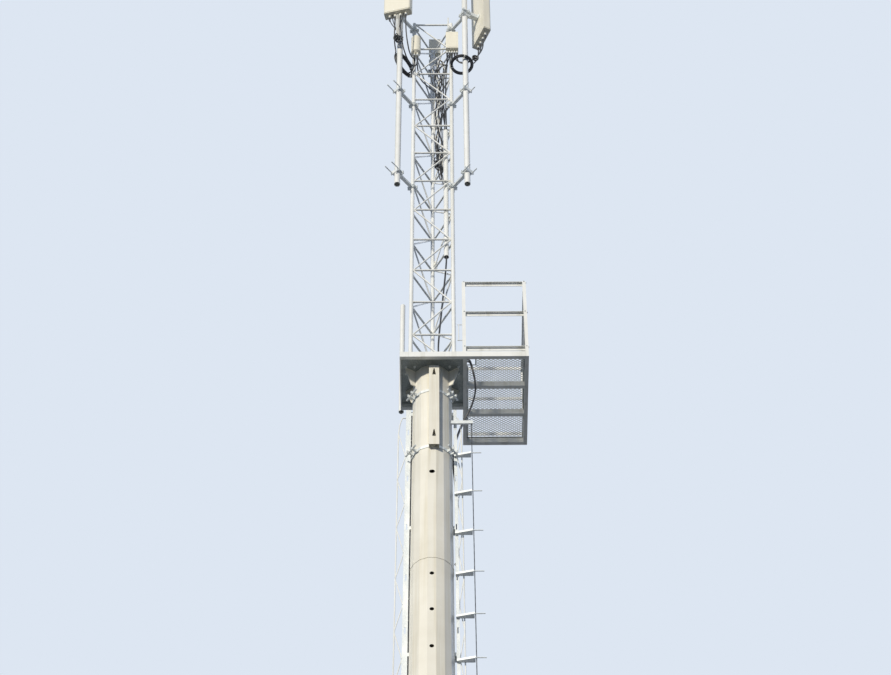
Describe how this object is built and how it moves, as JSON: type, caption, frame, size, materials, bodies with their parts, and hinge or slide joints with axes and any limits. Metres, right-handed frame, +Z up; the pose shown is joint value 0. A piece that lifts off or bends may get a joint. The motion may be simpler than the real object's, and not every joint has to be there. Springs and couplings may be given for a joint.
{
  "type": "monopole cell tower",
  "caption": "Tall tapered steel monopole with a railed head platform, a triangular lattice mast with panel antennas and radio units, side cable ladders and a climbing line.",
  "frame": {"origin": "centre of the base flange's underside, where it rests on the foundation", "axes": "+Z up along the pole, -Y towards the front face with the peg holes and the cover, +X to the right where the platform stands out"},
  "size_m": [1.4087, 1.2346, 27.45],
  "materials": {
    "galvanised": "weathered hot-dip zinc",
    "white_paint": "off-white paint on zinc, satin",
    "radome": "light grey glass fibre cover, matt",
    "black_cable": "black cable sheath"
  },
  "bodies": {
    "root": {"base_flange": "galvanised", "base_stiffeners": "galvanised", "pole_lower": "white_paint", "pole_upper": "white_paint", "pole_head": "white_paint", "cable_port": "galvanised", "clamp_bands": "galvanised", "head_plate": "galvanised", "head_gussets": "white_paint", "front_cover": "white_paint", "platform_frame": "white_paint", "platform_grating": "galvanised", "guardrail_front": "white_paint", "guardrail_side": "white_paint", "guardrail_rear": "white_paint", "left_upright": "white_paint", "mast_feet": "galvanised", "mast_leg_left": "white_paint", "mast_leg_right": "white_paint", "mast_leg_rear": "white_paint", "bracing_front": "white_paint", "bracing_right": "white_paint", "bracing_left": "white_paint", "sector_pipe_left": "white_paint", "sector_pipe_right": "white_paint", "rear_pipe": "white_paint", "standoffs_left": "galvanised", "standoffs_right": "galvanised", "standoffs_rear": "galvanised", "cable_conduit": "white_paint", "antenna_left": "radome", "antenna_right": "radome", "antenna_brackets": "galvanised", "radio_unit_right": "radome", "radio_unit_rear": "radome", "surge_unit_left": "radome", "tray_left": "galvanised", "tray_right": "galvanised", "lacing_left": "white_paint", "lacing_right": "white_paint", "climbing_steps": "galvanised", "fall_arrest_line": "galvanised", "line_brackets": "galvanised", "feeder_cables": "black_cable", "mast_cables": "black_cable", "jumpers_left": "black_cable", "jumpers_right": "black_cable", "coil_left": "black_cable", "coil_right": "black_cable"}
  },
  "joints": []
}
